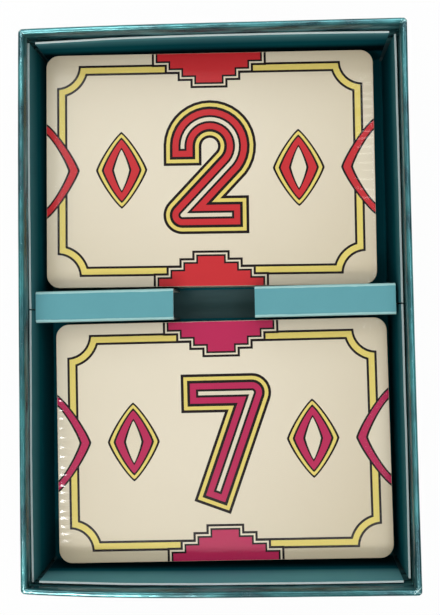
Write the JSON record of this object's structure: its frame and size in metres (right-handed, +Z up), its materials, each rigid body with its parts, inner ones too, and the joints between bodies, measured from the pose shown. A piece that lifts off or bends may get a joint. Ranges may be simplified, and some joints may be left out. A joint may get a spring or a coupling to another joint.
{
  "type": "card game box",
  "caption": "Open foil-wrapped card-game tray with a folded insert: two wells, each holding a film-wrapped deck, and a divider with a finger notch.",
  "frame": {"origin": "under the middle of the tray's base, on the surface it stands on", "axes": "+Z up out of the open tray, +Y along the tray's long side, +X along the cards' long side"},
  "size_m": [0.099, 0.1436, 0.0375],
  "materials": {
    "greyboard": "raw",
    "stay_paper": "raw",
    "foil_paper": "metallic foil",
    "lining_paper": "satin",
    "insert_board": "printed satin",
    "card_stock": "satin varnish",
    "clear_film": "clear gloss"
  },
  "bodies": {
    "tray": {"tray_board": "greyboard", "corner_stays": "stay_paper", "foil_wrap": "foil_paper", "tray_liner": "lining_paper"},
    "insert": {"card_insert": "insert_board"},
    "upper_deck": {"upper_film": "clear_film", "upper_set_01": "card_stock", "upper_set_02": "card_stock", "upper_set_03": "card_stock", "upper_set_04": "card_stock", "upper_set_05": "card_stock", "upper_set_06": "card_stock", "upper_set_07": "card_stock", "upper_set_08": "card_stock", "upper_set_09": "card_stock", "upper_set_10": "card_stock", "upper_set_11": "card_stock", "upper_set_12": "card_stock"},
    "lower_deck": {"lower_film": "clear_film", "lower_set_01": "card_stock", "lower_set_02": "card_stock", "lower_set_03": "card_stock", "lower_set_04": "card_stock", "lower_set_05": "card_stock", "lower_set_06": "card_stock", "lower_set_07": "card_stock", "lower_set_08": "card_stock", "lower_set_09": "card_stock", "lower_set_10": "card_stock"}
  },
  "joints": [
    {"name": "insert_lift", "type": "slide", "parent": "tray", "child": "insert", "axis": [0, 0, 1], "range_m": [0, 0.045]},
    {"name": "upper_deck_lift", "type": "slide", "parent": "insert", "child": "upper_deck", "axis": [0, 0, 1], "range_m": [0, 0.045]},
    {"name": "lower_deck_lift", "type": "slide", "parent": "insert", "child": "lower_deck", "axis": [0, 0, 1], "range_m": [0, 0.045]}
  ]
}
